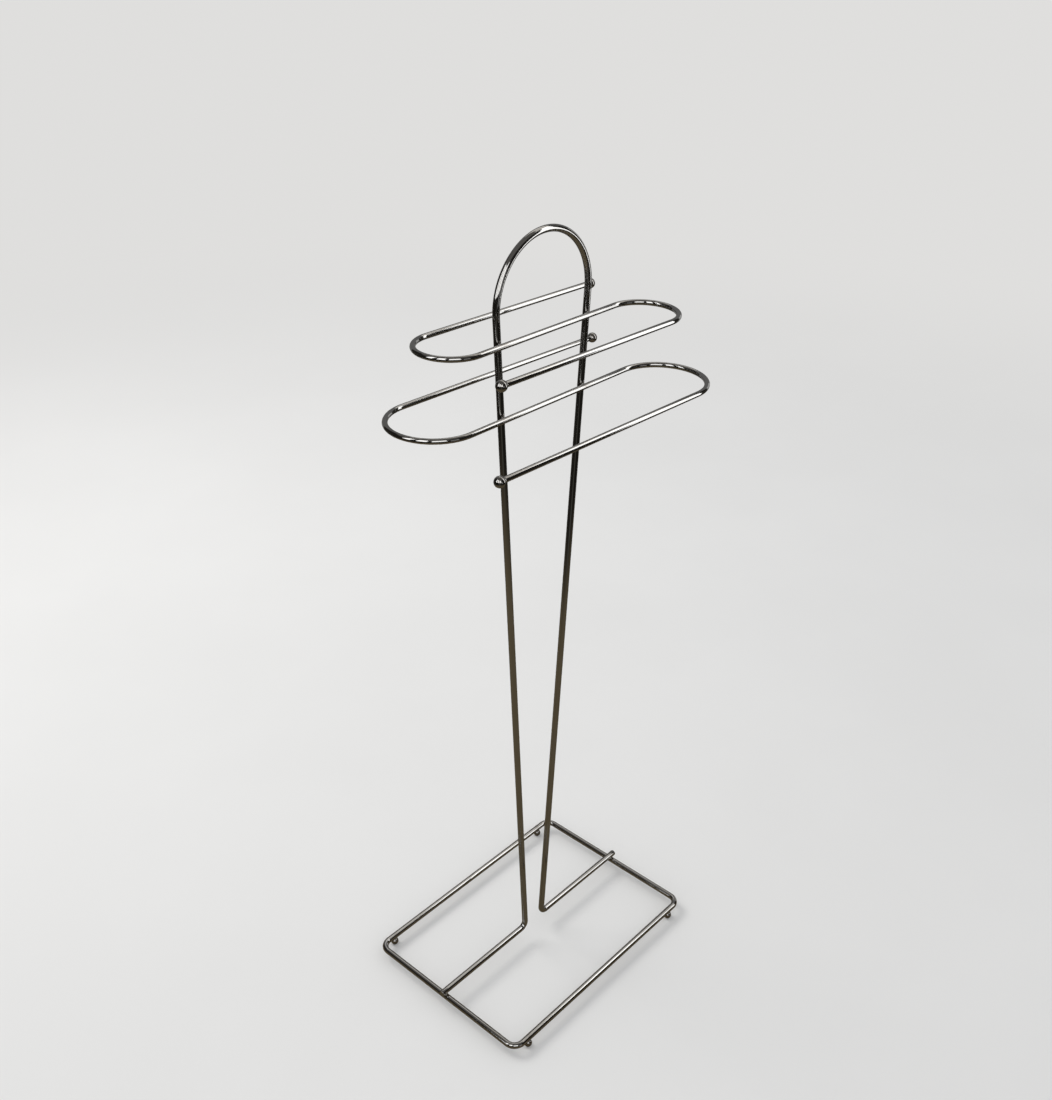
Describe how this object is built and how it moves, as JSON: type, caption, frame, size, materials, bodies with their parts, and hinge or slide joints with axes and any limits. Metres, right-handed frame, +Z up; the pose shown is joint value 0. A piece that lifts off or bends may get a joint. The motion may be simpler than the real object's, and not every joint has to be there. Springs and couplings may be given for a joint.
{
  "type": "valet stand",
  "caption": "Free-standing garment valet of bent chromed rod: rectangular base ring on ball feet, tall arched upright, and S-shaped hanging rails with ball ends.",
  "frame": {"origin": "on the floor, under the middle of the lower rail, which is the centre of the whole stand's box", "axes": "+Z up, +X to the right along the rails and the base's long sides, +Y to the rear, away from the side where the rails cross the legs"},
  "size_m": [0.3844, 0.261, 1],
  "materials": {
    "polished_chrome": "polished chrome plate, mirror bright",
    "weld_chrome": "chrome plate over weld beads, slightly dull and uneven"
  },
  "bodies": {
    "root": {"base_ring": "polished_chrome", "upright": "polished_chrome", "foot_front_left": "polished_chrome", "foot_rear_left": "polished_chrome", "foot_front_right": "polished_chrome", "foot_rear_right": "polished_chrome", "upper_rail": "polished_chrome", "upper_rail_rear_ball": "polished_chrome", "upper_rail_front_ball": "polished_chrome", "lower_rail": "polished_chrome", "lower_rail_rear_ball": "polished_chrome", "lower_rail_front_ball": "polished_chrome", "base_weld_left": "weld_chrome", "base_weld_right": "weld_chrome", "foot_weld_front_left": "weld_chrome", "foot_weld_rear_left": "weld_chrome", "foot_weld_front_right": "weld_chrome", "foot_weld_rear_right": "weld_chrome", "upper_rail_weld_left": "weld_chrome", "upper_rail_weld_right": "weld_chrome", "lower_rail_weld_left": "weld_chrome", "lower_rail_weld_right": "weld_chrome"}
  },
  "joints": []
}
